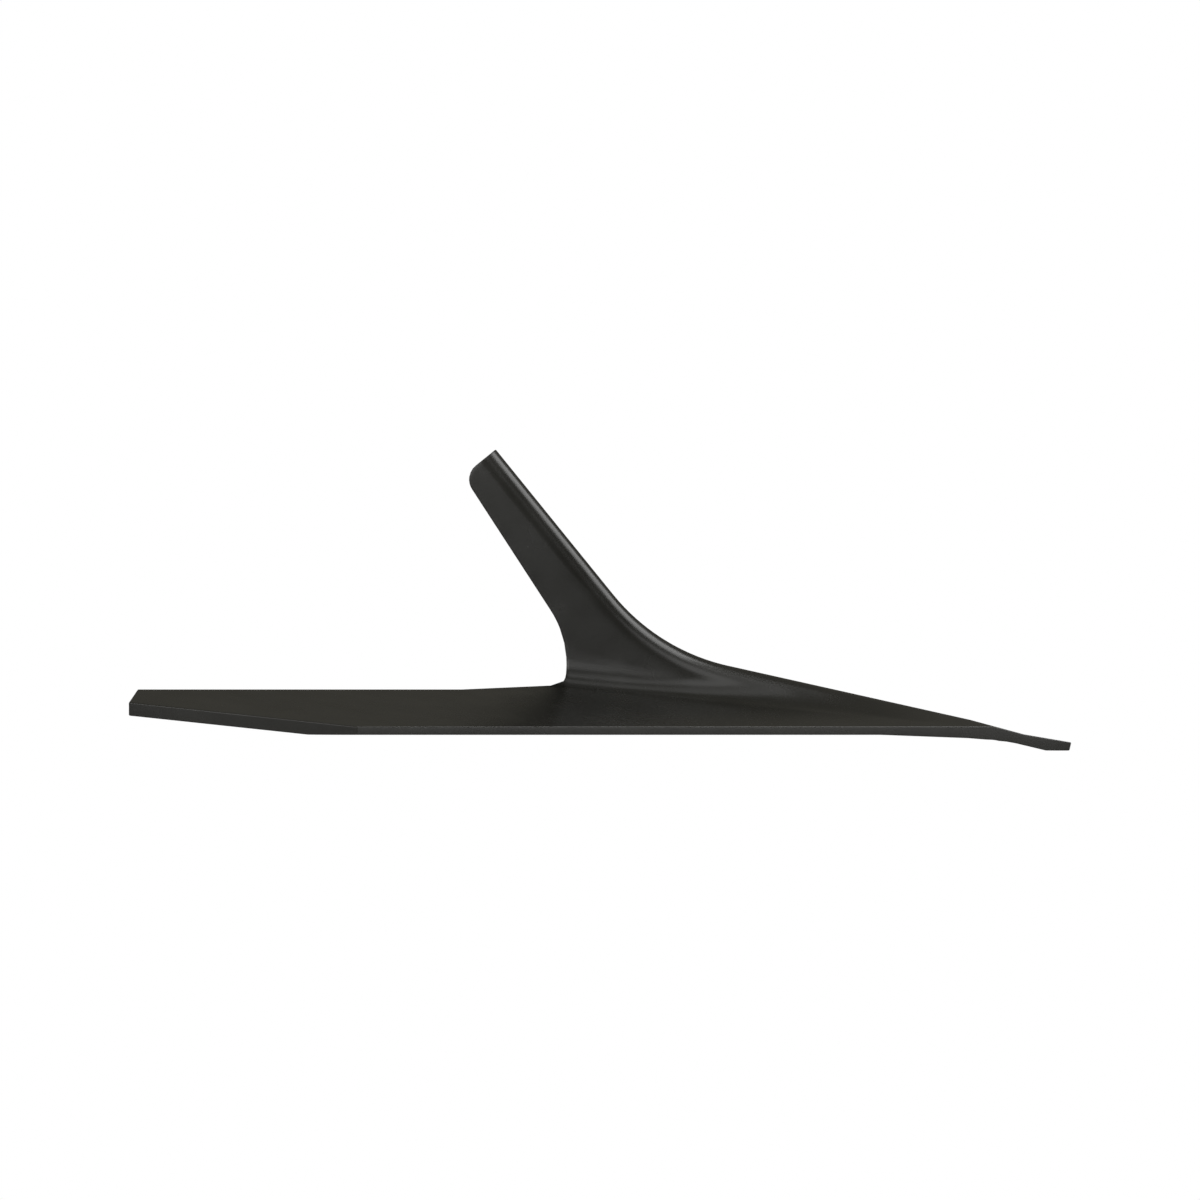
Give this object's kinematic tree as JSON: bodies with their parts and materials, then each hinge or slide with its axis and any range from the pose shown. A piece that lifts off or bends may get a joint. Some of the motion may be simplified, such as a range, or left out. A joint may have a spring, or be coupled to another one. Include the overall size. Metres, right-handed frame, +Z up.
{
  "type": "cultivator sweep",
  "caption": "V-shaped cultivator sweep pressed from one steel plate: swept wings with ground cutting edges, a blunt nose and a bolt-on channel stem.",
  "frame": {"origin": "ground level under the middle of the sweep: halfway between the nose and the wing tips, on the plane of symmetry", "axes": "+X forward along the direction of travel, towards the nose; +Z up; Y = 0 is the plane of symmetry"},
  "size_m": [0.45, 0.4064, 0.1438],
  "materials": {
    "black_paint": "semi-gloss olive-black paint on steel"
  },
  "bodies": {
    "root": {"sweep": "black_paint"}
  },
  "joints": []
}
